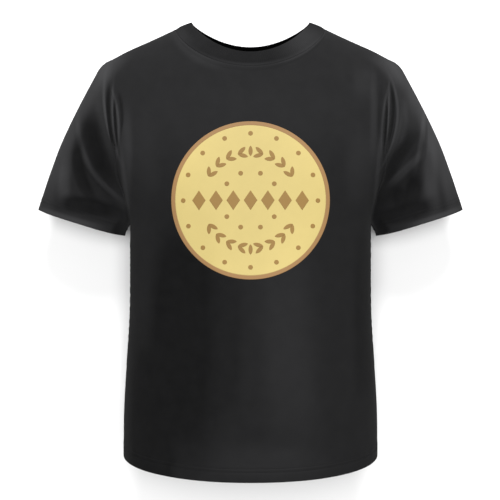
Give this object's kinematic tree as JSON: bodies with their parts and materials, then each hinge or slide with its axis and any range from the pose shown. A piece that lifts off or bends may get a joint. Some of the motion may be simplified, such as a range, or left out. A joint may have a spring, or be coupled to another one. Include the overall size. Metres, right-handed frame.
{
  "type": "crew-neck t-shirt with a round print",
  "caption": "Black short-sleeved crew-neck T-shirt with a round cream and brown print on the chest, lying on its back, filled out and open at hem, neck and sleeves.",
  "frame": {"origin": "middle of the shirt's bounding box seen from the front, at the height of the surface its back lies on", "axes": "+X to the side that is on the right in the picture, +Y from the hem up to the neck, +Z from the back to the front"},
  "size_m": [0.681, 0.692, 0.2056],
  "materials": {
    "black_jersey": "matt cotton jersey",
    "black_rib": "matt cotton rib",
    "cream_ink": "satin screen-print ink",
    "brown_ink": "satin screen-print ink"
  },
  "bodies": {
    "root": {"front_panel": "black_jersey", "back_panel": "black_jersey", "sleeve_right": "black_jersey", "sleeve_left": "black_jersey", "collar": "black_rib", "print_field": "cream_ink", "print_rim": "brown_ink"}
  },
  "joints": []
}
